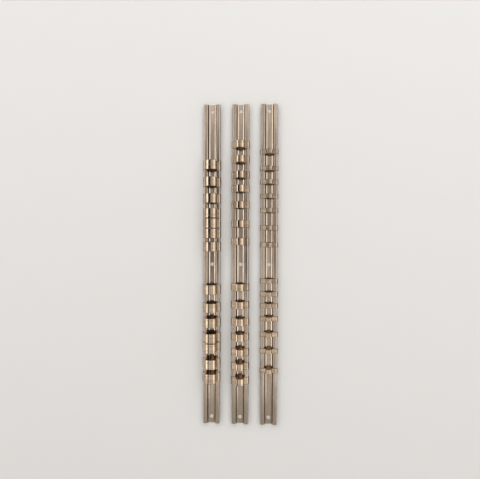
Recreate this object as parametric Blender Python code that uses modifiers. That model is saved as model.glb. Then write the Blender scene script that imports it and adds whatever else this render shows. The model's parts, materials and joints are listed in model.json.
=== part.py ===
"""Set of three pressed steel socket rails with sliding spring clips.

Each rail is one strip of sheet steel, roll formed into a dished centre land that lies on the
wall, a steep step up on either side, and two raised flanges whose outer edges turn down. Three
screws go through the land. The clips are bent from one strip of spring steel each: a hook under
one flange edge, a wing over the flange, a bulged dome that a socket snaps over, and the same
again on the other side. A clip slides along its rail and is held by friction.

Metres, +Z up. The set lies on its back: the rails run along Y, side by side in X, and the
origin is below the middle of the set, on the plane of the wall.
"""

import math

import bmesh
import bpy
from mathutils import Matrix, Vector

# Rail, driving dimensions
RAIL_LENGTH = 0.4064
RAIL_WIDTH = 0.0214
RAIL_PITCH = 0.0364
RAIL_SHEET = 0.001
RAIL_HEIGHT = 0.0055
LIP_DEPTH = 0.0026

# Rail section: half widths of its folds, measured to the middle of the sheet
LAND_FLAT_HALF_WIDTH = 0.0028
LAND_HALF_WIDTH = 0.0048
STEP_RUN = 0.0009
DISH_ANGLE = math.radians(25)
DISH_RADIUS = 0.006
STEP_RADIUS = 0.001
FLANGE_EDGE_RADIUS = 0.0014

# Screw holes on the middle line of each land
SCREW_HOLE_DIAMETER = 0.0048
SCREW_END_DISTANCE = 0.008

# Clip strip, shared by all sizes
CLIP_SHEET = 0.0005
CLIP_CLEARANCE = 0.0003
HOOK_REACH = 0.0031
HOOK_RADIUS = 0.0008
ROOT_RADIUS = 0.001
CLIP_LEAST_GAP = 0.0008
CROWN_ANGLE = math.radians(22)

# A dome's own proportions, as shares of the size that each one follows
CROWN_RADIUS_SHARE = 0.9
SHOULDER_RADIUS_SHARE = 0.16

# Clip sizes. The strip width and the dome's span follow the square drive of the socket,
# the neck is narrower so that the socket stays on, and the height follows the drive's depth.
HALF_INCH_STRIP_WIDTH = 0.012
HALF_INCH_DOME_SPAN = 0.0131
HALF_INCH_DOME_NECK = 0.0106
HALF_INCH_DOME_HEIGHT = 0.013
THREE_EIGHTHS_STRIP_WIDTH = 0.009
THREE_EIGHTHS_DOME_SPAN = 0.0099
THREE_EIGHTHS_DOME_NECK = 0.008
THREE_EIGHTHS_DOME_HEIGHT = 0.0098
QUARTER_INCH_STRIP_WIDTH = 0.006
QUARTER_INCH_DOME_SPAN = 0.0067
QUARTER_INCH_DOME_NECK = 0.0054
QUARTER_INCH_DOME_HEIGHT = 0.007

# Spaces between clips, from the rail's lower end to its upper end, as shares of the free length
HALF_INCH_GAP_SHARES = (
    0.235, 0.022, 0.032, 0.0, 0.029, 0.026, 0.046, 0.182,
    0.018, 0.0, 0.0, 0.026, 0.036, 0.036, 0.314,
)
THREE_EIGHTHS_GAP_SHARES = (
    0.187, 0.033, 0.031, 0.034, 0.036, 0.043, 0.047, 0.179,
    0.046, 0.053, 0.040, 0.029, 0.036, 0.033, 0.172,
)
QUARTER_INCH_GAP_SHARES = (
    0.210, 0.058, 0.046, 0.042, 0.032, 0.025, 0.032, 0.125,
    0.048, 0.049, 0.036, 0.036, 0.033, 0.046, 0.183,
)

# How finely bends and rounds are divided
BEND_STEPS = 2
EDGE_STEPS = 3
CROWN_STEPS = 3
ROUND_STEPS = 32

# How far a cutter runs past what it cuts
CUTTER_OVERRUN = 0.001

# Least share of a straight that stays straight between the bends at its ends
STRAIGHT_SHARE = 0.02

# Finish of the two steels, and the angle past which an edge is shaded sharp
RAIL_COLOUR = (0.62, 0.52, 0.40, 1.0)
RAIL_ROUGHNESS = 0.22
CLIP_COLOUR = (0.70, 0.60, 0.46, 1.0)
CLIP_ROUGHNESS = 0.16
SHARP_ANGLE = math.radians(50)

# Plane of the middle of the sheet in the land and in the flanges
LAND_MID = RAIL_SHEET / 2
FLANGE_MID = RAIL_HEIGHT - RAIL_SHEET / 2

# Half widths and heights that the clip takes from the rail it wraps
WRAP_OFFSET = RAIL_SHEET / 2 + CLIP_CLEARANCE + CLIP_SHEET / 2
RAIL_EDGE_MID = RAIL_WIDTH / 2 - RAIL_SHEET / 2
CLIP_SIDE_MID = RAIL_EDGE_MID + WRAP_OFFSET
WING_MID = FLANGE_MID + WRAP_OFFSET
HOOK_MID = RAIL_HEIGHT - LIP_DEPTH - CLIP_CLEARANCE - CLIP_SHEET / 2
WRAP_RADIUS = FLANGE_EDGE_RADIUS + WRAP_OFFSET

COLLECTION_NAME = "socket_rail_set"
CUTTER_COLLECTION_NAME = "cutters"


class ClipSize:
    """Sizes of the clip that fits one drive size."""

    def __init__(self, name, strip_width, dome_span, dome_neck, dome_height, gap_shares):
        self.name = name
        self.strip_width = strip_width
        self.dome_span = dome_span
        self.dome_neck = dome_neck
        self.dome_height = dome_height
        self.gap_shares = gap_shares


HALF_INCH = ClipSize(
    "half_inch", HALF_INCH_STRIP_WIDTH, HALF_INCH_DOME_SPAN, HALF_INCH_DOME_NECK,
    HALF_INCH_DOME_HEIGHT, HALF_INCH_GAP_SHARES,
)
THREE_EIGHTHS = ClipSize(
    "three_eighths", THREE_EIGHTHS_STRIP_WIDTH, THREE_EIGHTHS_DOME_SPAN,
    THREE_EIGHTHS_DOME_NECK, THREE_EIGHTHS_DOME_HEIGHT, THREE_EIGHTHS_GAP_SHARES,
)
QUARTER_INCH = ClipSize(
    "quarter_inch", QUARTER_INCH_STRIP_WIDTH, QUARTER_INCH_DOME_SPAN,
    QUARTER_INCH_DOME_NECK, QUARTER_INCH_DOME_HEIGHT, QUARTER_INCH_GAP_SHARES,
)

# Left to right, as the set is laid out
RAIL_ORDER = (HALF_INCH, THREE_EIGHTHS, QUARTER_INCH)


def clear_scene():
    """Remove every object, so that the script starts from nothing."""
    for thing in list(bpy.data.objects):
        bpy.data.objects.remove(thing, do_unlink=True)


def new_collection(name):
    """Make a collection in the scene."""
    collection = bpy.data.collections.new(name)
    bpy.context.scene.collection.children.link(collection)
    return collection


def plated_steel(name, colour, roughness):
    """Bright plated steel."""
    material = bpy.data.materials.new(name)
    material.use_nodes = True
    shader = material.node_tree.nodes["Principled BSDF"]
    shader.inputs["Base Color"].default_value = colour
    shader.inputs["Metallic"].default_value = 1.0
    shader.inputs["Roughness"].default_value = roughness
    return material


def turn_at(before, corner, after):
    """How far a path turns at one of its corners."""
    return (corner - before).angle(after - corner)


def rounded_corner(before, corner, after, radius, steps):
    """Points of the arc that rounds a corner of a path, from one tangent point to the other."""
    entry = (corner - before).normalized()
    leave = (after - corner).normalized()
    turn = entry.angle(leave)
    start = corner - entry * radius * math.tan(turn / 2)
    centre = corner + (leave - entry).normalized() * (radius / math.cos(turn / 2))
    side = math.copysign(1, entry.cross(leave))
    return [
        centre + Matrix.Rotation(side * turn * step / steps, 2) @ (start - centre)
        for step in range(steps + 1)
    ]


def fitted_radii(places, radii):
    """Bend radii, made tighter where the straight between two bends is too short for both."""
    reaches = [0.0] * len(places)
    for index in range(1, len(places) - 1):
        turn = turn_at(*places[index - 1:index + 2])
        reaches[index] = radii[index] * math.tan(turn / 2)
    fits = [1.0] * len(places)
    for index in range(len(places) - 1):
        room = (places[index + 1] - places[index]).length * (1 - STRAIGHT_SHARE)
        wanted = reaches[index] + reaches[index + 1]
        if wanted > room:
            fits[index] = min(fits[index], room / wanted)
            fits[index + 1] = min(fits[index + 1], room / wanted)
    return [radius * fit for radius, fit in zip(radii, fits)]


def bent_path(corners):
    """Centre line of a bent strip, from (place, bend radius, steps) for each of its corners."""
    places = [Vector(place) for place, radius, steps in corners]
    radii = fitted_radii(places, [radius for place, radius, steps in corners])
    points = [places[0]]
    for index in range(1, len(corners) - 1):
        around = places[index - 1:index + 2]
        points += rounded_corner(*around, radii[index], corners[index][2])
    points.append(places[-1])
    return points


def mirrored(half):
    """Corners of a left half, middle to edge, from those of the right half, edge to middle."""
    return [((-x, z), radius, steps) for (x, z), radius, steps in reversed(half)]


def rail_section():
    """Centre line of the rail's sheet, from its right edge over the land to its left edge."""
    dish_rise = (LAND_HALF_WIDTH - LAND_FLAT_HALF_WIDTH) * math.tan(DISH_ANGLE)
    half = [
        ((RAIL_EDGE_MID, RAIL_HEIGHT - LIP_DEPTH), 0, 0),
        ((RAIL_EDGE_MID, FLANGE_MID), FLANGE_EDGE_RADIUS, EDGE_STEPS),
        ((LAND_HALF_WIDTH + STEP_RUN, FLANGE_MID), STEP_RADIUS, BEND_STEPS),
        ((LAND_HALF_WIDTH, LAND_MID + dish_rise), STEP_RADIUS, BEND_STEPS),
        ((LAND_FLAT_HALF_WIDTH, LAND_MID), DISH_RADIUS, BEND_STEPS),
    ]
    return bent_path(half + mirrored(half))


def clip_section(size):
    """Centre line of a clip's strip, from its right hook over the dome to its left hook."""
    half_span = size.dome_span / 2 - CLIP_SHEET / 2
    half_neck = size.dome_neck / 2 - CLIP_SHEET / 2
    crown_radius = CROWN_RADIUS_SHARE * size.dome_span
    top_mid = WING_MID + size.dome_height
    apex = top_mid + crown_radius * (1 / math.cos(CROWN_ANGLE) - 1)
    shoulder = apex - half_span * math.tan(CROWN_ANGLE)
    half = [
        ((CLIP_SIDE_MID - HOOK_REACH, HOOK_MID), 0, 0),
        ((CLIP_SIDE_MID, HOOK_MID), HOOK_RADIUS, BEND_STEPS),
        ((CLIP_SIDE_MID, WING_MID), WRAP_RADIUS, EDGE_STEPS),
        ((half_neck, WING_MID), ROOT_RADIUS, BEND_STEPS),
        ((half_span, shoulder), SHOULDER_RADIUS_SHARE * size.dome_span, EDGE_STEPS),
    ]
    crown = ((0, apex), crown_radius, 2 * CROWN_STEPS)
    return bent_path(half + [crown] + mirrored(half))


def bent_sheet(name, path, width, thickness, collection, material):
    """A strip of sheet: the path drawn out along Y as an open surface, then thickened."""
    shell = bmesh.new()
    near = [shell.verts.new((point.x, -width / 2, point.y)) for point in path]
    edges = [shell.edges.new(pair) for pair in zip(near, near[1:])]
    drawn = bmesh.ops.extrude_edge_only(shell, edges=edges)["geom"]
    far = [item for item in drawn if isinstance(item, bmesh.types.BMVert)]
    bmesh.ops.translate(shell, verts=far, vec=(0, width, 0))
    bmesh.ops.recalc_face_normals(shell, faces=shell.faces)
    mesh = bpy.data.meshes.new(name)
    shell.to_mesh(mesh)
    shell.free()
    mesh.materials.append(material)
    mesh.shade_smooth()
    mesh.set_sharp_from_angle(angle=SHARP_ANGLE)
    strip = bpy.data.objects.new(name, mesh)
    collection.objects.link(strip)
    solidify = strip.modifiers.new("sheet thickness", "SOLIDIFY")
    solidify.thickness = thickness
    solidify.offset = 0
    solidify.use_even_offset = True
    return strip


def hole_places():
    """Places along Y of the screw holes: near both ends and in the middle."""
    end = RAIL_LENGTH / 2 - SCREW_END_DISTANCE
    return (-end, 0, end)


def screw_cutter(name, centre, cutters):
    """A cylinder through the land that cuts one screw hole."""
    bpy.ops.mesh.primitive_cylinder_add(
        vertices=ROUND_STEPS, radius=SCREW_HOLE_DIAMETER / 2,
        depth=RAIL_SHEET + 2 * CUTTER_OVERRUN, location=centre,
    )
    cutter = bpy.context.active_object
    cutter.name = name
    for owner in list(cutter.users_collection):
        owner.objects.unlink(cutter)
    cutters.objects.link(cutter)
    cutter.hide_render = True
    cutter.display_type = "WIRE"
    return cutter


def cut(target, cutter):
    """Take the cutter's shape out of the target."""
    boolean = target.modifiers.new(cutter.name, "BOOLEAN")
    boolean.operation = "DIFFERENCE"
    boolean.solver = "EXACT"
    boolean.object = cutter


def rail_x(index):
    """Middle line of a rail, counted from the left."""
    return (index - (len(RAIL_ORDER) - 1) / 2) * RAIL_PITCH


def make_rail(size, index, parts, cutters, material):
    """One rail with its three punched screw holes."""
    name = f"rail_{size.name}"
    rail = bent_sheet(name, rail_section(), RAIL_LENGTH, RAIL_SHEET, parts, material)
    rail.location.x = rail_x(index)
    for number, y in enumerate(hole_places(), start=1):
        cut(rail, screw_cutter(f"{name}_hole_{number}", (rail_x(index), y, LAND_MID), cutters))
    return rail


def clip_places(size):
    """Middles of a rail's clips along Y, from its lower end up."""
    count = len(size.gap_shares) - 1
    least = CLIP_LEAST_GAP * len(size.gap_shares)
    free = RAIL_LENGTH - count * size.strip_width - least
    total = sum(size.gap_shares)
    places = []
    edge = -RAIL_LENGTH / 2
    for share in size.gap_shares[:count]:
        edge += CLIP_LEAST_GAP + free * share / total
        places.append(edge + size.strip_width / 2)
        edge += size.strip_width
    return places


def make_clips(size, index, parts, material):
    """The clips of one rail, which share one mesh, each with its origin on its slide axis."""
    places = clip_places(size)
    first = bent_sheet(
        f"clip_{size.name}_01", clip_section(size), size.strip_width, CLIP_SHEET, parts, material
    )
    first.location = (rail_x(index), places[0], 0)
    for number, y in enumerate(places[1:], start=2):
        clip = first.copy()
        clip.name = f"clip_{size.name}_{number:02d}"
        clip.location.y = y
        parts.objects.link(clip)


def main():
    clear_scene()
    parts = new_collection(COLLECTION_NAME)
    cutters = new_collection(CUTTER_COLLECTION_NAME)
    rail_steel = plated_steel("plated rolled steel", RAIL_COLOUR, RAIL_ROUGHNESS)
    clip_steel = plated_steel("plated spring steel", CLIP_COLOUR, CLIP_ROUGHNESS)
    for index, size in enumerate(RAIL_ORDER):
        make_rail(size, index, parts, cutters, rail_steel)
        make_clips(size, index, parts, clip_steel)


main()
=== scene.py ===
"""Socket rail set: three roll formed steel rails and the spring clips that slide on them.

Every rail and clip is one strip of plated sheet steel. Its section is a bent line of straight
runs and bends, and the strip is that line given a thickness and drawn out along Y.
"""

import json
import math

import bpy
import numpy as np
from bpy.props import EnumProperty, FloatProperty, FloatVectorProperty, IntProperty, PointerProperty
from mathutils import Euler, Matrix, Vector


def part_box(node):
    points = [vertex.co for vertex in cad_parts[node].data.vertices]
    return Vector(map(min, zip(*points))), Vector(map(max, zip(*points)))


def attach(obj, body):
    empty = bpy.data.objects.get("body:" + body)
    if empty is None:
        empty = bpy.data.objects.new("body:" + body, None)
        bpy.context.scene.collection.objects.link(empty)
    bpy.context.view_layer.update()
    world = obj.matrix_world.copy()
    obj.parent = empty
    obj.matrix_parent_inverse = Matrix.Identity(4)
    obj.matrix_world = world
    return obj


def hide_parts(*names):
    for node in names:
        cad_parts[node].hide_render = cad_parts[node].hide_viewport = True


bl_info = {
    "name": "Socket Rail Set",
    "version": (1, 0, 0),
    "blender": (4, 5, 0),
    "location": "View3D > Sidebar > Socket Rails",
    "description": "Builds pressed steel socket rails with their sliding spring clips",
    "category": "Add Mesh",
}

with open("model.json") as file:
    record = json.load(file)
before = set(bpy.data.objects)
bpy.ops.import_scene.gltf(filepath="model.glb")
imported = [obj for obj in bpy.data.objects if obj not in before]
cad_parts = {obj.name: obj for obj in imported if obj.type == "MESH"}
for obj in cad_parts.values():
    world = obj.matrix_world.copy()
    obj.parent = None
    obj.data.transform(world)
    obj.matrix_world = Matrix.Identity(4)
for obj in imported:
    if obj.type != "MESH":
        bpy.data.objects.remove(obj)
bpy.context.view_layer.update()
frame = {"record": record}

MM = 0.001
DRIVES = ("half_inch", "three_eighths", "quarter_inch")
CLIPS_PER_RAIL = 14
RAIL_PITCH = 36.4 * MM
STRIP_ATTRIBUTE = "strip_mm"
CREASE_ATTRIBUTE = "crease_mm"

# Steps of a rounded sheet edge
EDGE_STEPS = 3
# Cells along a side of the square round a punched hole, rings from that square to the hole,
# and the power that crowds the rings towards the hole
HOLE_CELLS = 16
HOLE_RINGS = 6
RING_CROWDING = 1.5
# How far the square reaches past the land's flat, and the least room between it and the next
# column and the next row of the grid
SQUARE_MARGIN = 0.3 * MM
COLUMN_ROOM = 0.1 * MM
ROW_ROOM = 1 * MM
# Longest step round a bend, along a straight run and along the rail, and the shortest step
BEND_STEP = math.radians(5)
RUN_STEP = 2.5 * MM
LENGTH_STEP = 16 * MM
LEAST_STEP = RUN_STEP / 20
# Places nearer than SAME are one place, and TINY keeps a division from meeting zero
SAME = 1e-7
TINY = 1e-12
# Most of a straight run that the bends at its two ends may take
BEND_SHARE = 0.98
# An inside bend with less than this radius is a crease. The wall beside it belongs to the
# crease where the sine of its slope is more than WALL_SINE and it is shorter than WALL_LENGTH
CREASE_RADIUS = 2 * MM
WALL_SINE = 0.9
WALL_LENGTH = 3 * MM

# The plate on the strip, in millimetres: where the rougher band by a slit edge, with its
# painted shade, begins and where it is full, and the length and width of a cloud
SLIT_BAND_MM = (0.45, 0.20)
CLOUD_MM = (30, 4)
# Size of a pit, and how far from a rail's middle the painted shade of the sides begins and is full
PIT_SIZE = 0.9 * MM
SIDE_SHADE_BAND = (9.9 * MM, 10.9 * MM)
# Tint of the plate in a pit, and the painted shade round a side, in a crease and by a slit edge
PIT_TINT = "#B09C88"
SIDE_PAINTED_SHADE = "#878380"
CREASE_PAINTED_SHADE = "#786C61"
SLIT_PAINTED_SHADE = "#5E5044"
# How dark and how bright the rolled lines leave the plate
LINE_LEVELS = (0.90, 1.0)
# Size of the clouds in the paper's pulp, and how dark and how bright they leave it
PULP_SIZE = 60 * MM
PULP_LEVELS = (0.985, 1.0)


def linear(hex_colour):
    """An sRGB hex colour as linear red, green, blue and alpha."""
    srgb = np.array([int(hex_colour[i:i + 2], 16) / 255 for i in (1, 3, 5)])
    low = srgb / 12.92
    high = ((srgb + 0.055) / 1.055) ** 2.4
    return (*np.where(srgb <= 0.04045, low, high).tolist(), 1.0)


class RailShape(bpy.types.PropertyGroup):
    """Section of the rolled rail and its punched holes."""

    sheet: FloatProperty(
        name="Sheet", description="Thickness of the rail's strip", default=1.0 * MM, unit="LENGTH")
    height: FloatProperty(
        name="Height", description="Top of the flanges above the wall", default=5.5 * MM, unit="LENGTH")
    width: FloatProperty(
        name="Width", description="Rail from flange edge to flange edge", default=21.4 * MM, unit="LENGTH")
    lip_depth: FloatProperty(
        name="Lip depth", description="Height of the turned down flange edge", default=2.6 * MM,
        unit="LENGTH")
    flat_half_width: FloatProperty(
        name="Flat half width", description="Half of the land's flat middle", default=2.8 * MM,
        unit="LENGTH")
    land_half_width: FloatProperty(
        name="Land half width", description="Half of the dished land", default=4.8 * MM, unit="LENGTH")
    step_run: FloatProperty(
        name="Step run", description="How far a step leans out as it rises", default=0.9 * MM,
        unit="LENGTH")
    dish_angle: FloatProperty(
        name="Dish angle", description="Slope of the land's sides", default=math.radians(25),
        subtype="ANGLE")
    dish_radius: FloatProperty(
        name="Dish radius", description="Bend between the land's flat and its sides", default=2.5 * MM,
        unit="LENGTH")
    step_radius: FloatProperty(
        name="Step radius", description="Bends at the foot and head of a step", default=1.0 * MM,
        unit="LENGTH")
    flange_slope: FloatProperty(
        name="Flange slope", description="How the flanges fall towards the land",
        default=math.radians(3), subtype="ANGLE")
    edge_radius: FloatProperty(
        name="Edge radius", description="Bend of the turned down edge", default=1.4 * MM, unit="LENGTH")
    hole_diameter: FloatProperty(
        name="Hole", description="Diameter of the punched screw holes", default=4.8 * MM, unit="LENGTH")
    hole_end_distance: FloatProperty(
        name="Hole to end", description="End holes from the ends of the rail", default=8 * MM,
        unit="LENGTH")
    sheared_edge: FloatProperty(
        name="Sheared edge", description="Rounding of the strip's cut edges", default=0.12 * MM,
        unit="LENGTH")


class ClipShape(bpy.types.PropertyGroup):
    """Section of the spring clips, which wraps the rail's section."""

    sheet: FloatProperty(
        name="Sheet", description="Thickness of the spring strip", default=0.5 * MM, unit="LENGTH")
    clearance: FloatProperty(
        name="Clearance", description="Running gap round the rail's flanges", default=0.3 * MM,
        unit="LENGTH")
    hook_reach: FloatProperty(
        name="Hook reach", description="How far a hook turns in under the flange", default=3.1 * MM,
        unit="LENGTH")
    hook_radius: FloatProperty(
        name="Hook radius", description="Bend of the hook", default=0.8 * MM, unit="LENGTH")
    root_radius: FloatProperty(
        name="Root radius", description="Bend from the wing up into the dome", default=1.0 * MM,
        unit="LENGTH")
    crown_share: FloatProperty(
        name="Crown share", description="Half of the crown's width as a share of the dome's span",
        default=0.364)
    shoulder_share: FloatProperty(
        name="Shoulder share", description="Shoulder radius as a share of the dome's span",
        default=0.16)
    slit_edge: FloatProperty(
        name="Slit edge", description="Rounding of the strip's slit edges", default=0.07 * MM,
        unit="LENGTH")
    half_inch_span: FloatProperty(
        name="Half inch span", description="Widest part of the half inch dome", default=13.1 * MM,
        unit="LENGTH")
    half_inch_neck: FloatProperty(
        name="Half inch neck", description="Narrowest part of the half inch dome",
        default=10.6 * MM, unit="LENGTH")
    half_inch_crown: FloatProperty(
        name="Half inch crown", description="Slope of the half inch crown at its shoulders",
        default=math.radians(22), subtype="ANGLE")
    three_eighths_span: FloatProperty(
        name="Three eighths span", description="Widest part of the three eighths dome",
        default=9.9 * MM, unit="LENGTH")
    three_eighths_neck: FloatProperty(
        name="Three eighths neck", description="Narrowest part of the three eighths dome",
        default=8.0 * MM, unit="LENGTH")
    three_eighths_crown: FloatProperty(
        name="Three eighths crown", description="Slope of the three eighths crown at its shoulders",
        default=math.radians(22), subtype="ANGLE")
    quarter_inch_span: FloatProperty(
        name="Quarter inch span", description="Widest part of the quarter inch dome",
        default=6.7 * MM, unit="LENGTH")
    quarter_inch_neck: FloatProperty(
        name="Quarter inch neck", description="Narrowest part of the quarter inch dome",
        default=5.4 * MM, unit="LENGTH")
    quarter_inch_crown: FloatProperty(
        name="Quarter inch crown", description="Slope of the quarter inch crown at its shoulders",
        default=math.radians(9), subtype="ANGLE")
    play: FloatProperty(
        name="Play", description="Room in the clearance for how a clip sits", default=0.07 * MM,
        unit="LENGTH")
    turn: FloatProperty(
        name="Turn", description="Most that a clip sits turned on its rail",
        default=math.radians(0.3), subtype="ANGLE")
    lean: FloatProperty(
        name="Lean", description="Most that a clip's dome leans along the rail",
        default=math.radians(0.25), subtype="ANGLE")
    rock: FloatProperty(
        name="Rock", description="Most that a clip rocks from side to side on its rail",
        default=math.radians(1.1), subtype="ANGLE")
    seed: IntProperty(
        name="Seed", description="Draw of how each clip sits", default=11)


class Finish(bpy.types.PropertyGroup):
    """Colours of the plated steels."""

    rail_light: FloatVectorProperty(
        name="Rail, bright", description="Rail plating where it is bright", size=4, min=0, max=1,
        default=linear("#E2D1BF"), subtype="COLOR")
    rail_dark: FloatVectorProperty(
        name="Rail, dull", description="Rail plating where it is dull", size=4, min=0, max=1,
        default=linear("#CEBCA9"), subtype="COLOR")
    clip_light: FloatVectorProperty(
        name="Clip, bright", description="Clip plating where it is bright", size=4, min=0, max=1,
        default=linear("#EAD4BC"), subtype="COLOR")
    clip_dark: FloatVectorProperty(
        name="Clip, dull", description="Clip plating where it is dull", size=4, min=0, max=1,
        default=linear("#D7BFA3"), subtype="COLOR")


class Studio(bpy.types.PropertyGroup):
    """Floor, light and camera."""

    floor_colour: FloatVectorProperty(
        name="Floor", description="Matt paper under the set", size=4, min=0, max=1,
        default=linear("#F4F3F1"), subtype="COLOR")
    camera_x: FloatProperty(
        name="Camera X", description="Camera right of the set's middle", default=0.040, unit="LENGTH")
    camera_y: FloatProperty(
        name="Camera Y", description="Camera above the set's middle", default=0.036, unit="LENGTH")
    camera_height: FloatProperty(
        name="Camera height", description="Camera above the wall plane", default=0.65, unit="LENGTH")
    aim_x: FloatProperty(
        name="Aim X", description="Middle of the picture on the wall plane, right of the middle",
        default=-0.0008, unit="LENGTH")
    aim_y: FloatProperty(
        name="Aim Y", description="Middle of the picture on the wall plane, above the middle",
        default=0.0316, unit="LENGTH")
    roll: FloatProperty(
        name="Roll", description="Turn of the camera about its own axis",
        default=math.radians(0.2), subtype="ANGLE")
    field: FloatProperty(
        name="Field of view", description="Angle across the picture",
        default=math.radians(50.5), subtype="ANGLE")


class BentLine:
    """A strip's centre line in the XZ plane, walked by its length.

    It is made of straight runs joined by bends that touch them. Over a length s of a run that
    starts at p with heading h and curvature k, the heading turns to h + k s, and the chord from
    p points along h + k s / 2 with length s sinc(k s / 2), which holds for k = 0 too.
    """

    def __init__(self, corners):
        places = np.array([place for place, _ in corners], dtype=float)
        radii = np.array([radius for _, radius in corners], dtype=float)
        legs = np.diff(places, axis=0)
        spans = np.hypot(*legs.T)
        ways = legs / spans[:, None]
        headings = np.unwrap(np.arctan2(ways[:, 1], ways[:, 0]))
        turns = np.diff(headings)
        reaches = np.zeros(len(places))
        reaches[1:-1] = radii[1:-1] * np.tan(np.abs(turns) / 2)
        # Two bends that want more than the straight between them share it in proportion
        fit = np.minimum(1, BEND_SHARE * spans / np.maximum(reaches[:-1] + reaches[1:], TINY))
        scale = np.minimum(np.append(1, fit), np.append(fit, 1))
        reaches = reaches * scale
        radii = radii * scale
        count = 2 * len(legs) - 1
        self.starts = np.zeros((count, 2))
        self.headings = np.zeros(count)
        self.curvatures = np.zeros(count)
        self.lengths = np.zeros(count)
        self.starts[::2] = places[:-1] + ways * reaches[:-1, None]
        self.starts[1::2] = places[1:-1] - ways[:-1] * reaches[1:-1, None]
        self.headings[::2] = headings
        self.headings[1::2] = headings[:-1]
        self.curvatures[1::2] = np.sign(turns) / radii[1:-1]
        self.lengths[::2] = spans - reaches[:-1] - reaches[1:]
        self.lengths[1::2] = radii[1:-1] * np.abs(turns)
        self.begins = np.append(0, np.cumsum(self.lengths)[:-1])
        self.length = float(self.lengths.sum())
        # A bend whose curvature is below zero is hollow on the strip's top side
        creased = np.flatnonzero(self.curvatures < -1 / CREASE_RADIUS)
        middles = (self.begins + self.lengths / 2)[creased]
        short_wall = (np.abs(np.sin(self.headings)) > WALL_SINE) & (self.lengths < WALL_LENGTH)
        low = np.where(short_wall[creased - 1], self.begins[creased - 1], middles)
        high = np.where(short_wall[creased + 1], self.begins[creased + 2], middles)
        self.creases = np.stack([low, high])

    def at(self, s):
        """Points and headings at the lengths s along the line."""
        run = np.clip(np.searchsorted(self.begins, s, side="right") - 1, 0, len(self.begins) - 1)
        into = s - self.begins[run]
        bend = self.curvatures[run] * into
        chord = into * np.sinc(bend / (2 * np.pi))
        middle = self.headings[run] + bend / 2
        point = self.starts[run] + chord[..., None] * np.stack([np.cos(middle), np.sin(middle)], -1)
        return point, self.headings[run] + bend

    def from_crease(self, s):
        """Distance along the line from the lengths s to the nearest crease, or 0 in one."""
        low, high = self.creases
        return np.maximum(np.maximum(low - s[:, None], s[:, None] - high), 0).min(axis=1)

    def stations(self, low, high):
        """Lengths between low and high that follow each bend in small even steps."""
        turned = np.abs(self.curvatures) * self.lengths
        steps = np.maximum(np.ceil(turned / BEND_STEP), np.ceil(self.lengths / RUN_STEP)).astype(int)
        marks = np.concatenate([
            begin + length * np.arange(step) / step
            for begin, length, step in zip(self.begins, self.lengths, steps)
        ])
        inner = marks[(marks > low + LEAST_STEP) & (marks < high - LEAST_STEP)]
        return np.concatenate([[low], inner, [high]])


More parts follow.
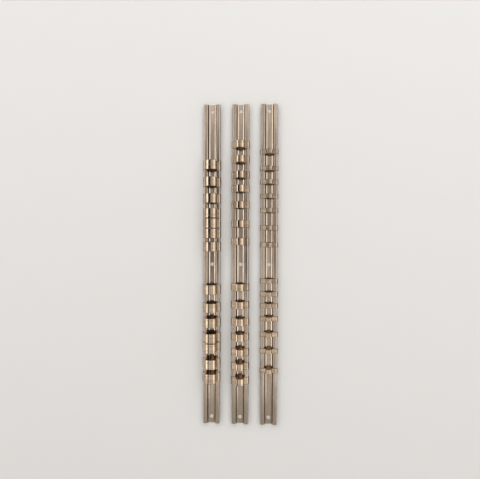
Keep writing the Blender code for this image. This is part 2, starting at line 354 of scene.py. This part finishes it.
class SheetBody:
    """A bent line given a thickness and drawn out along Y, with every cut edge rounded.

    The body is one closed loop of columns, swept along rows of constant Y. A column lies at a
    length s along the line and an offset o from it: out along the top, round the cut end, back
    along the underside and round the other end. The last rows turn in by c (1 - cos b) as they
    go out by c sin b, so the ends are rounded by the same radius c.
    """

    def __init__(self, line, sheet, edge, y_low, y_high, columns, rows):
        self.line = line
        self.half = sheet / 2
        self.edge = edge
        corner = np.linspace(0, np.pi / 2, EDGE_STEPS + 1)
        # Columns of the top side: first cut end, stations, other cut end
        self.first_station = EDGE_STEPS + 1
        self.columns = columns
        self.half_count = 2 * (EDGE_STEPS + 1) + len(columns)
        end_rows = np.stack([edge * np.sin(corner), edge * (1 - np.cos(corner)), corner])
        low_end = end_rows[:, ::-1]
        y = np.concatenate([y_low + edge - low_end[0], rows, y_high - edge + end_rows[0]])
        inset = np.concatenate([low_end[1], np.zeros(len(rows)), end_rows[1]])
        tip = np.concatenate([-low_end[2], np.zeros(len(rows)), end_rows[2]])
        # Where the last rows turn in, the loop's own corners tighten to half their radius
        radius = edge - inset / 2
        near = (inset + radius)[:, None]
        share = (columns - edge) / (line.length - 2 * edge)
        middle_s = near + share[None, :] * (line.length - 2 * near)
        start_s = near - radius[:, None] * np.cos(corner)[None, :]
        start_o = (self.half - inset - radius)[:, None] + radius[:, None] * np.sin(corner)[None, :]
        s = np.concatenate([start_s, middle_s, line.length - start_s[:, ::-1]], axis=1)
        o = np.concatenate([
            start_o, np.broadcast_to((self.half - inset)[:, None], middle_s.shape), start_o[:, ::-1],
        ], axis=1)
        along = np.concatenate([-np.cos(corner), np.zeros(len(columns)), np.cos(corner)[::-1]])
        out = np.concatenate([np.sin(corner), np.ones(len(columns)), np.sin(corner)[::-1]])
        along = np.broadcast_to(along[None, :], s.shape)
        out = np.broadcast_to(out[None, :], s.shape)
        # The underside is the top side mirrored in the line
        self.s = np.concatenate([s, s[:, ::-1]], axis=1)
        self.o = np.concatenate([o, -o[:, ::-1]], axis=1)
        self.along = np.concatenate([along, along[:, ::-1]], axis=1)
        self.out = np.concatenate([out, -out[:, ::-1]], axis=1)
        self.y = np.broadcast_to(y[:, None], self.s.shape)
        self.tip = np.broadcast_to(tip[:, None], self.s.shape)
        self.row_y = y

    def place(self, s, y, o, along, out, across):
        """World points and normals, from the strip's own places and directions."""
        point, heading = self.line.at(s)
        tangent = np.stack([np.cos(heading), np.sin(heading)], -1)
        normal = np.stack([np.sin(heading), -np.cos(heading)], -1)
        flat = point + normal * o[..., None]
        way = tangent * along[..., None] + normal * out[..., None]
        points = np.stack([flat[..., 0], y, flat[..., 1]], -1)
        normals = np.stack([way[..., 0], across, way[..., 1]], -1)
        return points, normals

    def grid(self):
        """Points, normals and the quads of the swept loop with its two cut ends."""
        level = np.cos(self.tip)
        points, normals = self.place(
            self.s, self.y, self.o, self.along * level, self.out * level, np.sin(self.tip))
        rows, columns = self.s.shape
        index = np.arange(rows * columns).reshape(rows, columns)
        turned = np.roll(index, -1, axis=1)
        sides = np.stack([index[:-1], turned[:-1], turned[1:], index[1:]], -1).reshape(-1, 4)
        top = index[:, :self.half_count]
        under = index[:, :self.half_count - 1:-1]
        ends = [
            np.stack([top[row, :-1], top[row, 1:], under[row, 1:], under[row, :-1]], -1)
            for row in (0, rows - 1)
        ]
        return points.reshape(-1, 3), normals.reshape(-1, 3), sides, np.concatenate(ends), index


def punched(body, index, centre_s, centre_y, radius, half_side):
    """The rings that lead from a square of the grid into a round hole and out below.

    Gives their points, normals, places (s, y) and quads, and the square's rows and columns.
    On each side of the sheet, a ring at share t is the circle plus t times the way from the
    circle to the square. Below t = 0 the rim is rounded: at an angle g it lies
    edge (1 - sin g) outside the hole's wall and edge (1 - cos g) under the surface.
    """
    columns = body.first_station + np.flatnonzero(np.abs(body.columns - centre_s) < half_side + SAME)
    rows = np.flatnonzero(np.abs(body.row_y - centre_y) < half_side + SAME)
    c0, c1, r0, r1 = columns[0], columns[-1], rows[0], rows[-1]
    n = HOLE_CELLS
    assert c1 - c0 == n and r1 - r0 == n
    walk_c = np.concatenate([c0 + np.arange(n), np.full(n, c1), c1 - np.arange(n), np.full(n, c0)])
    walk_r = np.concatenate([np.full(n, r0), r0 + np.arange(n), np.full(n, r1), r1 - np.arange(n)])
    square = np.stack([body.s[walk_r, walk_c] - centre_s, body.y[walk_r, walk_c] - centre_y], -1)
    way = square / np.hypot(*square.T)[:, None]
    edge = body.edge
    shares = np.linspace(1, 0, HOLE_RINGS + 1)[1:] ** RING_CROWDING
    rim = np.linspace(0, np.pi / 2, EDGE_STEPS + 1)[1:]
    circle = way * (radius + edge)
    rings = [circle + (square - circle) * t for t in shares] + [
        way * (radius + edge * (1 - np.sin(g))) for g in rim]
    depths = [0.0] * len(shares) + [edge * (1 - math.cos(g)) for g in rim]
    tilts = [0.0] * len(shares) + list(rim)
    points, normals, places = [], [], []
    down = range(len(rings))
    for side, order in ((1, down), (-1, reversed(down))):
        for k in order:
            s = centre_s + rings[k][:, 0]
            y = centre_y + rings[k][:, 1]
            offset = np.full(len(s), side * (body.half - depths[k]))
            level = np.full(len(s), side * math.cos(tilts[k]))
            inward = -way * math.sin(tilts[k])
            ring, facing = body.place(s, y, offset, inward[:, 0], level, inward[:, 1])
            points.append(ring)
            normals.append(facing)
            places.append(np.stack([s, y], -1))
    inner = index.size + np.arange(len(points) * len(way)).reshape(len(points), len(way))
    under_c = 2 * body.half_count - 1 - walk_c
    rings_index = np.concatenate([
        index[walk_r, walk_c][None], inner, index[walk_r, under_c][None]])
    turned = np.roll(rings_index, -1, axis=1)
    quads = np.stack([rings_index[:-1], turned[:-1], turned[1:], rings_index[1:]], -1).reshape(-1, 4)
    return (
        np.concatenate(points), np.concatenate(normals), np.concatenate(places), quads,
        (r0, r1, c0, c1))


def pierced(body, holes, hole_radius, half_side):
    """Points, normals, places (s, y) and quads of a body with round holes along its middle.

    On both sides of the sheet, the quads inside a hole's square give way to the hole's rings.
    """
    points, normals, sides, ends, index = body.grid()
    all_points, all_normals, all_quads = [points], [normals], [ends]
    all_places = [np.stack([body.s.ravel(), body.y.ravel()], -1)]
    row_of, column_of = np.divmod(sides[:, 0], body.s.shape[1])
    last = 2 * body.half_count - 1
    kept = np.ones(len(sides), dtype=bool)
    made = index.size
    for hole in holes:
        points, normals, places, quads, (r0, r1, c0, c1) = punched(
            body, index, body.line.length / 2, hole, hole_radius, half_side)
        all_points.append(points)
        all_normals.append(normals)
        all_places.append(places)
        all_quads.append(np.where(quads >= index.size, quads + made - index.size, quads))
        made += len(points)
        in_rows = (row_of >= r0) & (row_of < r1)
        on_top = (column_of >= c0) & (column_of < c1)
        below = (column_of >= last - c1) & (column_of < last - c0)
        kept &= ~(in_rows & (on_top | below))
    return (
        np.concatenate(all_points), np.concatenate(all_normals), np.concatenate(all_places),
        np.concatenate([sides[kept]] + all_quads))


def finished_mesh(name, points, normals, strip, crease, quads):
    """A mesh whose faces all look out, with the exact normals and the strip's own coordinates.

    A face is turned over where its own normal opposes the mean of its corners' normals.
    """
    used, quads = np.unique(quads, return_inverse=True)
    quads = quads.reshape(-1, 4)
    points, normals, strip, crease = points[used], normals[used], strip[used], crease[used]
    corner = points[quads]
    face = np.cross(corner[:, 2] - corner[:, 0], corner[:, 3] - corner[:, 1])
    wrong = (face * normals[quads].mean(axis=1)).sum(axis=1) < 0
    quads[wrong] = quads[wrong][:, ::-1]
    mesh = bpy.data.meshes.new(name)
    mesh.from_pydata(points.tolist(), [], quads.tolist())
    mesh.polygons.foreach_set("use_smooth", np.ones(len(quads), dtype=bool))
    layer = mesh.attributes.new(STRIP_ATTRIBUTE, "FLOAT_VECTOR", "POINT")
    layer.data.foreach_set("vector", (strip / MM).astype(np.float32).ravel())
    layer = mesh.attributes.new(CREASE_ATTRIBUTE, "FLOAT", "POINT")
    layer.data.foreach_set("value", (crease / MM).astype(np.float32))
    mesh.normals_split_custom_set_from_vertices(normals.tolist())
    mesh.update()
    return mesh


def show(name, mesh, material, node):
    """Put a finished piece in the scene in its node's place."""
    piece = bpy.data.objects.new(name, mesh)
    bpy.context.scene.collection.objects.link(piece)
    mesh.materials.append(material)
    body = next(body for body, nodes in frame["record"]["behaviour"]["bodies"].items() if node in nodes)
    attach(piece, body)
    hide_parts(node)


def both_halves(half, middle=()):
    """A whole section from its right half, listed from its edge to the middle."""
    left = [((-x, z), radius) for (x, z), radius in reversed(half)]
    return half + list(middle) + left


def rail_line(rail):
    """Centre line of the rail: edge, flange, step, dished land, step, flange, edge."""
    edge = rail.width / 2 - rail.sheet / 2
    flange = rail.height - rail.sheet / 2
    land = rail.sheet / 2
    rise = (rail.land_half_width - rail.flat_half_width) * math.tan(rail.dish_angle)
    head = rail.land_half_width + rail.step_run
    fall = (edge - head) * math.tan(rail.flange_slope)
    return BentLine(both_halves([
        ((edge, rail.height - rail.lip_depth), 0),
        ((edge, flange), rail.edge_radius),
        ((head, flange - fall), rail.step_radius),
        ((rail.land_half_width, land + rise), rail.step_radius),
        ((rail.flat_half_width, land), rail.dish_radius),
    ]))


def clip_line(rail, clip, drive, dome_top):
    """Centre line of a clip: hook, side, wing, dome wall, shoulder, crown and the same again."""
    wrap = rail.sheet / 2 + clip.clearance - clip.play + clip.sheet / 2
    side = rail.width / 2 - rail.sheet / 2 + wrap
    lift = 1 / math.cos(rail.flange_slope) + math.tan(rail.flange_slope)
    wing = rail.height - rail.sheet / 2 + wrap * lift
    hook = rail.height - rail.lip_depth - clip.clearance - clip.sheet / 2
    span = getattr(clip, f"{drive}_span")
    neck = getattr(clip, f"{drive}_neck")
    half_span = span / 2 - clip.sheet / 2
    slope = getattr(clip, f"{drive}_crown")
    crown = clip.crown_share * span / math.tan(slope)
    apex = dome_top - clip.sheet / 2 + crown * (1 / math.cos(slope) - 1)
    shoulder = apex - half_span * math.tan(slope)
    root = neck / 2 - clip.sheet / 2
    fall = (side - root) * math.tan(rail.flange_slope)
    return BentLine(both_halves([
        ((side - clip.hook_reach, hook), 0),
        ((side, hook), clip.hook_radius),
        ((side, wing), rail.edge_radius + wrap),
        ((root, wing - fall), clip.root_radius),
        ((half_span, shoulder), clip.shoulder_share * span),
    ], [((0, apex), crown)]))


def add(tree, kind, settings=None, **links):
    """Add a node, set its own settings and its sockets' values, and link its sockets.

    Settings are named as the node's properties or as its input sockets. A link gives an
    input socket's name, with _ for a blank, and the output socket that feeds it.
    """
    node = tree.nodes.new(kind)
    for name, value in (settings or {}).items():
        if isinstance(name, int) or name in node.inputs:
            node.inputs[name].default_value = value
        else:
            setattr(node, name, value)
    for name, output in links.items():
        key = name.replace("_", " ")
        socket = node.inputs[int(key[3:])] if key.startswith("at ") else node.inputs[key]
        tree.links.new(output, socket)
    return node


def new_material(name):
    """An empty node material and its tree."""
    material = bpy.data.materials.new(name)
    material.use_nodes = True
    material.node_tree.nodes.clear()
    return material, material.node_tree


def ramp(tree, value, start, end, low=0.0, high=1.0, kind="SMOOTHSTEP"):
    """Low where the value is start, high where it is end, and rising or falling between them."""
    return add(tree, "ShaderNodeMapRange",
               {"From Min": start, "From Max": end, "To Min": low, "To Max": high,
                "interpolation_type": kind}, Value=value).outputs["Result"]


def drawn_noise(tree, strip, size_mm, detail, roughness=0.5):
    """Noise on the strip's own coordinates, in patches of this length and width."""
    length, width = size_mm
    drawn = add(tree, "ShaderNodeMapping", {"Scale": (1 / length, 1 / width, 0)}, Vector=strip)
    return add(tree, "ShaderNodeTexNoise",
               {"Scale": 1.0, "Detail": detail, "Roughness": roughness},
               Vector=drawn.outputs["Vector"]).outputs["Fac"]


def plated_steel(
        name, bright, dull, roughness, streak_mm, wave_mm, streak_height, wave_height, crease_mm):
    """Bright nickel plate over rolled strip.

    The plate copies the strip under it: fine lines along the way it was rolled, a slow wave
    across it, and small pits. The plate itself clouds a little, where it is also rougher.
    Patterns follow the strip's own coordinates in millimetres: x along the way it was rolled,
    y across it from its middle, and z half its width. A thin band by each slit edge is rougher
    and darker; the darkening is painted shade, for the thin shadow lines along the edges.
    The sides are darker too, with painted shade for the dark reflections and shade round the
    outer bends: their distance from the nearest rail's middle is the ping pong of x over half
    the rails' pitch. A band along each crease, such as a rail's steps, with the inside bends and
    the short walls beside them, is rougher and darker; the darkening is painted shade where
    shade falls in the corners.
    """
    material, tree = new_material(name)
    strip = add(tree, "ShaderNodeAttribute", {"attribute_name": STRIP_ATTRIBUTE}).outputs["Vector"]
    place = add(tree, "ShaderNodeTexCoord").outputs["Object"]
    sides = add(tree, "ShaderNodeSeparateXYZ", Vector=strip).outputs
    across = add(tree, "ShaderNodeMath", {"operation": "ABSOLUTE"}, at_0=sides["Y"]).outputs[0]
    inside = add(tree, "ShaderNodeMath", {"operation": "SUBTRACT"}, at_0=sides["Z"], at_1=across).outputs[0]
    x = add(tree, "ShaderNodeSeparateXYZ", Vector=place).outputs["X"]
    from_middle = add(tree, "ShaderNodeMath", {"operation": "PINGPONG", 1: RAIL_PITCH / 2},
                      at_0=x).outputs[0]
    from_crease = add(tree, "ShaderNodeAttribute", {"attribute_name": CREASE_ATTRIBUTE}).outputs["Fac"]
    streaks = drawn_noise(tree, strip, streak_mm, detail=3.0, roughness=0.6)
    waves = drawn_noise(tree, strip, wave_mm, detail=1.0)
    clouds = drawn_noise(tree, strip, CLOUD_MM, detail=3.0)
    specks = add(tree, "ShaderNodeTexNoise", {"Scale": 1 / PIT_SIZE, "Detail": 1.0},
                 Vector=place).outputs["Fac"]
    # Masks: 1 in the middle of a cloud, in a pit, on a side, in a crease and by a slit edge; the side,
    # crease and slit edge masks place painted shade
    cloud = ramp(tree, clouds, 0.35, 0.68)
    pits = ramp(tree, specks, 0.74, 0.86)
    # Painted shade on the outer sides, for their dark reflections and shade
    side = ramp(tree, from_middle, *SIDE_SHADE_BAND)
    # Painted shade in the creases, where shade falls in the bends and short walls
    crease = ramp(tree, from_crease, crease_mm, crease_mm / 3)
    # Painted shade along the slit edges, for the thin shadow lines there
    edge = ramp(tree, inside, *SLIT_BAND_MM)
    colour = add(tree, "ShaderNodeMix", {"data_type": "RGBA", 6: bright, 7: dull},
                 at_0=cloud).outputs[2]
    lines = ramp(tree, streaks, 0.30, 0.70, *LINE_LEVELS, kind="LINEAR")
    colour = add(tree, "ShaderNodeMix", {"data_type": "RGBA", "blend_type": "MULTIPLY", 0: 1.0},
                 at_6=colour, at_7=lines).outputs[2]
    # The pit tint is the plate's own colour; the side and crease tints are painted shade
    for mask, tint in ((pits, PIT_TINT), (side, SIDE_PAINTED_SHADE), (crease, CREASE_PAINTED_SHADE)):
        colour = add(tree, "ShaderNodeMix",
                     {"data_type": "RGBA", "blend_type": "MULTIPLY", 7: linear(tint)},
                     at_0=mask, at_6=colour).outputs[2]
    # Painted shade by the slit edges
    colour = add(tree, "ShaderNodeMix", {"data_type": "RGBA", 7: linear(SLIT_PAINTED_SHADE)},
                 at_0=edge, at_6=colour).outputs[2]
    # What each mask adds to the plate's own roughness
    rough = add(tree, "ShaderNodeValue").outputs[0]
    rough.default_value = roughness
    for mask, more in ((cloud, 0.07), (streaks, 0.08), (pits, 0.25), (crease, 0.15), (edge, 0.2)):
        rough = add(tree, "ShaderNodeMath", {"operation": "MULTIPLY_ADD", 1: more},
                    at_0=mask, at_2=rough).outputs[0]
    waved = add(tree, "ShaderNodeBump", {"Strength": 1.0, "Distance": wave_height},
                Height=waves).outputs["Normal"]
    bump = add(tree, "ShaderNodeBump", {"Strength": 1.0, "Distance": streak_height},
               Height=streaks, Normal=waved).outputs["Normal"]
    shader = add(tree, "ShaderNodeBsdfPrincipled", {"Metallic": 1.0},
                 Base_Color=colour, Roughness=rough, Normal=bump)
    add(tree, "ShaderNodeOutputMaterial", Surface=shader.outputs[0])
    return material


def matt_paper(colour, room, near=0.5, far=1.1):
    """Matt background paper, with the faint cloudiness of its pulp.

    Far from the set it curves away into the room: for what the eye and the metal see, the paper
    turns to the room's colour between near and far, in metres from the middle.
    """
    material, tree = new_material("matt background paper")
    place = add(tree, "ShaderNodeTexCoord").outputs["Object"]
    pulp = add(tree, "ShaderNodeTexNoise", {"Scale": 1 / PULP_SIZE, "Detail": 4.0},
               Vector=place).outputs["Fac"]
    shade = ramp(tree, pulp, 0.0, 1.0, *PULP_LEVELS, kind="LINEAR")
    tint = add(tree, "ShaderNodeMix",
               {"data_type": "RGBA", "blend_type": "MULTIPLY", 0: 1.0, 6: colour},
               at_7=shade).outputs[2]
    paper = add(tree, "ShaderNodeBsdfPrincipled",
                {"Roughness": 0.9, "Specular IOR Level": 0.2}, Base_Color=tint)
    away = add(tree, "ShaderNodeVectorMath", {"operation": "LENGTH"}, Vector=place).outputs["Value"]
    fade = ramp(tree, away, near, far)
    path = add(tree, "ShaderNodeLightPath").outputs
    shown = path["Is Camera Ray"]
    for kind in ("Is Glossy Ray", "Is Transmission Ray"):
        shown = add(tree, "ShaderNodeMath", {"operation": "MAXIMUM"},
                    at_0=shown, at_1=path[kind]).outputs[0]
    share = add(tree, "ShaderNodeMath", {"operation": "MULTIPLY"}, at_0=fade, at_1=shown).outputs[0]
    glow = add(tree, "ShaderNodeEmission", {"Color": room, "Strength": 1.0})
    shader = add(tree, "ShaderNodeMixShader", at_0=share, at_1=paper.outputs[0], at_2=glow.outputs[0])
    add(tree, "ShaderNodeOutputMaterial", Surface=shader.outputs[0])
    return material


class SOCKET_RAILS_OT_make_rails(bpy.types.Operator):
    """Make the three rolled rails with their punched screw holes"""

    bl_idname = "socket_rails.make_rails"
    bl_label = "Make Rails"

    def execute(self, context):
        rail = context.scene.socket_rail_shape
        finish = context.scene.socket_rail_finish
        # Nickel plate on cold rolled strip: a warm mirror, drawn out in lines along the rail
        steel = plated_steel(
            "nickel plated cold rolled steel", finish.rail_light, finish.rail_dark,
            roughness=0.09, streak_mm=(120, 0.8), wave_mm=(200, 5), streak_height=0.003 * MM,
            wave_height=0.012 * MM, crease_mm=0.7)
        line = rail_line(rail)
        middle = line.length / 2
        half_side = rail.flat_half_width + SQUARE_MARGIN
        cells = np.linspace(-half_side, half_side, HOLE_CELLS + 1)
        marks = line.stations(rail.sheared_edge, line.length - rail.sheared_edge)
        outside = marks[np.abs(marks - middle) > half_side + COLUMN_ROOM]
        columns = np.sort(np.concatenate([outside, middle + cells]))
        for drive in DRIVES:
            node = f"rail_{drive}"
            low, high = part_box(node)
            end = rail.hole_end_distance
            holes = np.array([low.y + end, (low.y + high.y) / 2, high.y - end])
            marks = np.arange(low.y + LENGTH_STEP, high.y - LENGTH_STEP / 2, LENGTH_STEP)
            from_hole = np.abs(marks[:, None] - holes).min(axis=1)
            clear = marks[from_hole > half_side + ROW_ROOM]
            rows = np.sort(np.concatenate([clear, (holes[:, None] + cells).ravel()]))
            body = SheetBody(line, rail.sheet, rail.sheared_edge, low.y, high.y, columns, rows)
            points, normals, places, quads = pierced(body, holes, rail.hole_diameter / 2, half_side)
            points[:, 0] += (low.x + high.x) / 2
            s, y = places.T
            strip = np.stack([y, s - middle, np.full(len(s), middle)], -1)
            mesh = finished_mesh(node, points, normals, strip, line.from_crease(s), quads)
            show(f"{node}_rolled", mesh, steel, node)
        return {"FINISHED"}


class SOCKET_RAILS_OT_make_clips(bpy.types.Operator):
    """Make the spring clips of one rail"""

    bl_idname = "socket_rails.make_clips"
    bl_label = "Make Clips"

    drive: EnumProperty(
        name="Drive", description="Square drive that the clips hold",
        items=[(name, name.replace("_", " "), "") for name in DRIVES])

    def execute(self, context):
        rail = context.scene.socket_rail_shape
        clip = context.scene.socket_clip_shape
        finish = context.scene.socket_rail_finish
        name = "nickel plated spring steel"
        # Nickel plate on polished spring strip: smoother than the rail, with faint lines round the bend
        steel = bpy.data.materials.get(name) or plated_steel(
            name, finish.clip_light, finish.clip_dark, roughness=0.05,
            streak_mm=(40, 0.9), wave_mm=(20, 6), streak_height=0.002 * MM,
            wave_height=0.012 * MM, crease_mm=1.6)
        draw = np.random.default_rng(clip.seed + DRIVES.index(self.drive))
        sits = draw.uniform(-1, 1, (CLIPS_PER_RAIL, 3)) * (clip.lean, clip.rock, clip.turn)
        for number, angles in enumerate(sits, start=1):
            node = f"clip_{self.drive}_{number:02d}"
            low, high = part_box(node)
            line = clip_line(rail, clip, self.drive, high.z - clip.play)
            columns = line.stations(clip.slit_edge, line.length - clip.slit_edge)
            half = (high.y - low.y) / 2
            body = SheetBody(line, clip.sheet, clip.slit_edge, -half, half, columns, np.zeros(0))
            points, normals, sides, ends, _ = body.grid()
            sit = np.array(Euler(angles).to_matrix())
            pivot = np.array([0, 0, rail.height])
            centre = np.array([(low.x + high.x) / 2, (low.y + high.y) / 2, 0])
            points = (points - pivot) @ sit.T + pivot + centre
            strip = np.stack([body.s + number * line.length, body.y, np.full(body.s.shape, half)], -1)
            mesh = finished_mesh(
                node, points, normals @ sit.T, strip.reshape(-1, 3),
                line.from_crease(body.s.ravel()), np.concatenate([sides, ends]))
            show(f"{node}_bent", mesh, steel, node)
        return {"FINISHED"}


class SOCKET_RAILS_OT_make_studio(bpy.types.Operator):
    """Make the floor, the light and the camera"""

    bl_idname = "socket_rails.make_studio"
    bl_label = "Make Studio"

    FLOOR_SIDES = 96
    FLOOR_RADIUS = 6.0
    FLOOR_DROP = 0.1 * MM
    ROOM = "#EAE9E7"
    # The ceiling's patches: how many in a radian, how dark and how bright they are, and the
    # heights of a direction between which they fade in
    PATCHES = 9.0
    PATCH_LEVELS = (0.55, 1.4)
    PATCH_HEIGHTS = (0.5, 0.7)
    # Lamps, as name, place, what they face, width, height and watts
    SOFT_BOXES = (
        ("left soft box", (-1.03, 0.40, 0.85), (0, 0.40, 0), 0.44, 1.8, 3.6),
        ("right soft box", (0.81, 0.26, 1.04), (0, 0.26, 0), 0.66, 1.68, 4.0),
        ("far soft box", (0.15, 1.05, 0.85), (0, 0, 0), 1.8, 0.7, 4.6),
    )
    # Cards in the room, as middle, half size and softness in degrees, and colour
    CARDS = (
        ((36, 0), (15, 42), 3, "#6A6560"),
        ((-50, 0), (9, 46), 3, "#6A6560"),
        ((-12.5, 0), (32.5, 28), 3, "#CCC7C2"),
        ((-3.5, 18), (5.5, 7.5), 1.5, "#E2DDD8"),
        ((-3, 4), (6, 6), 3, "#9C9791"),
        ((-9, -13), (11, 6), 3, "#DCD7D2"),
        ((-25.5, 4.5), (15.5, 6.5), 1, "#211E1B"),
        ((-9, -3), (4, 2.5), 2, "#1A1714"),
        ((-37, -12), (11, 8), 3, "#35302B"),
        ((58, 0), (6, 60), 3, "#2B2723"),
        ((-61, 0), (4, 60), 2, "#2B2723"),
        ((0, -27), (70, 8.5), 2, "#9A958F"),
    )

    def execute(self, context):
        studio = context.scene.socket_rail_studio
        scene = context.scene
        scene.view_settings.view_transform = "Standard"
        self.floor(studio)
        self.world(scene)
        for lamp in self.SOFT_BOXES:
            self.soft_box(*lamp)
        self.camera(scene, studio)
        return {"FINISHED"}

    def floor(self, studio):
        """A wide disc of paper a hair below the rails' backs, with its rim at R (cos a, sin a)."""
        turn = np.linspace(0, 2 * np.pi, self.FLOOR_SIDES, endpoint=False)
        rim = self.FLOOR_RADIUS * np.stack([np.cos(turn), np.sin(turn)], -1)
        points = np.column_stack([rim, np.full(self.FLOOR_SIDES, -self.FLOOR_DROP)])
        mesh = bpy.data.meshes.new("background_paper")
        mesh.from_pydata(points.tolist(), [], [list(range(self.FLOOR_SIDES))])
        mesh.materials.append(matt_paper(studio.floor_colour, linear(self.ROOM)))
        floor = bpy.data.objects.new("background_paper", mesh)
        bpy.context.scene.collection.objects.link(floor)

    def world(self, scene):
        """A pale room, with cards round the camera that give the bright metal its dark bands.

        A direction is read as two angles from overhead: across, atan2(x, z), and along,
        atan2(y, z). A card is the rectangle of angles within its half size of its middle,
        with edges as soft as its last angle. The ceiling is a little uneven, in patches of
        about six degrees.
        """
        world = bpy.data.worlds.new("pale room")
        world.use_nodes = True
        tree = world.node_tree
        tree.nodes.clear()
        way = add(tree, "ShaderNodeTexCoord").outputs["Generated"]
        axes = add(tree, "ShaderNodeSeparateXYZ", Vector=way).outputs
        across = add(tree, "ShaderNodeMath", {"operation": "ARCTAN2"}, at_0=axes["X"], at_1=axes["Z"])
        along = add(tree, "ShaderNodeMath", {"operation": "ARCTAN2"}, at_0=axes["Y"], at_1=axes["Z"])
        angles = add(tree, "ShaderNodeCombineXYZ", X=across.outputs[0], Y=along.outputs[0]).outputs[0]
        shade = add(tree, "ShaderNodeRGB").outputs["Color"]
        shade.default_value = linear(self.ROOM)
        for middle, half_size, soft, colour in self.CARDS:
            offset = add(tree, "ShaderNodeVectorMath",
                         {"operation": "SUBTRACT", 1: (*np.radians(middle), 0)}, at_0=angles)
            apart = add(tree, "ShaderNodeVectorMath", {"operation": "ABSOLUTE"},
                        at_0=offset.outputs["Vector"])
            outer = np.radians(np.array(half_size) + soft)
            inner = np.radians(np.array(half_size) - soft)
            inside = add(tree, "ShaderNodeMapRange",
                         {"data_type": "FLOAT_VECTOR", "interpolation_type": "SMOOTHSTEP",
                          7: (*outer, 1), 8: (*inner, 0)}, at_6=apart.outputs["Vector"])
            sides = add(tree, "ShaderNodeSeparateXYZ", Vector=inside.outputs["Vector"]).outputs
            mask = add(tree, "ShaderNodeMath", {"operation": "MULTIPLY"}, at_0=sides["X"], at_1=sides["Y"])
            shade = add(tree, "ShaderNodeMix", {"data_type": "RGBA", 7: linear(colour)},
                        at_0=mask.outputs[0], at_6=shade).outputs[2]
        patches = add(tree, "ShaderNodeTexNoise", {"Scale": self.PATCHES, "Detail": 2.0},
                      Vector=angles).outputs["Fac"]
        level = ramp(tree, patches, 0.35, 0.65, *self.PATCH_LEVELS, kind="LINEAR")
        overhead = ramp(tree, axes["Z"], *self.PATCH_HEIGHTS, kind="LINEAR")
        shade = add(tree, "ShaderNodeMix", {"data_type": "RGBA", "blend_type": "MULTIPLY"},
                    at_0=overhead, at_6=shade, at_7=level).outputs[2]
        background = add(tree, "ShaderNodeBackground", {"Strength": 1.0}, Color=shade)
        add(tree, "ShaderNodeOutputWorld", Surface=background.outputs[0])
        scene.world = world

    def soft_box(self, name, place, target, width, height, power):
        """A rectangular lamp that faces the set."""
        lamp = bpy.data.lights.new(name, "AREA")
        lamp.shape = "RECTANGLE"
        lamp.size = width
        lamp.size_y = height
        lamp.energy = power
        box = bpy.data.objects.new(name, lamp)
        way = Vector(place) - Vector(target)
        side = Vector((0, 1, 0)).cross(way).normalized()
        top = way.normalized().cross(side)
        turn = Matrix((side, top, way.normalized())).transposed().to_4x4()
        box.matrix_world = Matrix.Translation(place) @ turn
        bpy.context.scene.collection.objects.link(box)

    def camera(self, scene, studio):
        """The photograph's view: from above, a little right of the set and past its middle."""
        lens = bpy.data.cameras.new("camera")
        lens.angle = studio.field
        lens.clip_start = 0.01
        lens.clip_end = 20
        camera = bpy.data.objects.new("camera", lens)
        place = Vector((studio.camera_x, studio.camera_y, studio.camera_height))
        aim = Vector((studio.aim_x, studio.aim_y, 0))
        back = (place - aim).normalized()
        side = Vector((0, 1, 0)).cross(back).normalized()
        top = back.cross(side)
        turn = Matrix((side, top, back)).transposed() @ Matrix.Rotation(studio.roll, 3, "Z")
        camera.matrix_world = Matrix.Translation(place) @ turn.to_4x4()
        scene.collection.objects.link(camera)
        scene.camera = camera


class SOCKET_RAILS_PT_panel(bpy.types.Panel):
    """Sidebar panel with the sizes, the colours and the makers"""

    bl_idname = "SOCKET_RAILS_PT_panel"
    bl_label = "Socket Rails"
    bl_space_type = "VIEW_3D"
    bl_region_type = "UI"
    bl_category = "Socket Rails"

    def draw(self, context):
        layout = self.layout
        for name in GROUPS:
            group = getattr(context.scene, name)
            box = layout.box()
            for key in group.__annotations__:
                box.prop(group, key)
        layout.operator("socket_rails.make_rails")
        for drive in DRIVES:
            label = f"Make {drive.replace('_', ' ')} clips"
            layout.operator("socket_rails.make_clips", text=label).drive = drive
        layout.operator("socket_rails.make_studio")


CLASSES = (
    RailShape, ClipShape, Finish, Studio,
    SOCKET_RAILS_OT_make_rails, SOCKET_RAILS_OT_make_clips, SOCKET_RAILS_OT_make_studio,
    SOCKET_RAILS_PT_panel,
)
GROUPS = {
    "socket_rail_shape": RailShape,
    "socket_clip_shape": ClipShape,
    "socket_rail_finish": Finish,
    "socket_rail_studio": Studio,
}


def register():
    """Register the classes and hang the settings on the scene."""
    for each in CLASSES:
        bpy.utils.register_class(each)
    for name, group in GROUPS.items():
        setattr(bpy.types.Scene, name, PointerProperty(type=group))


def unregister():
    """Take the settings and the classes away again."""
    for name in GROUPS:
        delattr(bpy.types.Scene, name)
    for each in reversed(CLASSES):
        bpy.utils.unregister_class(each)


def main():
    """Build the whole set and its studio."""
    register()
    bpy.ops.socket_rails.make_rails()
    for drive in DRIVES:
        bpy.ops.socket_rails.make_clips(drive=drive)
    bpy.ops.socket_rails.make_studio()


if __name__ == "__main__":
    main()
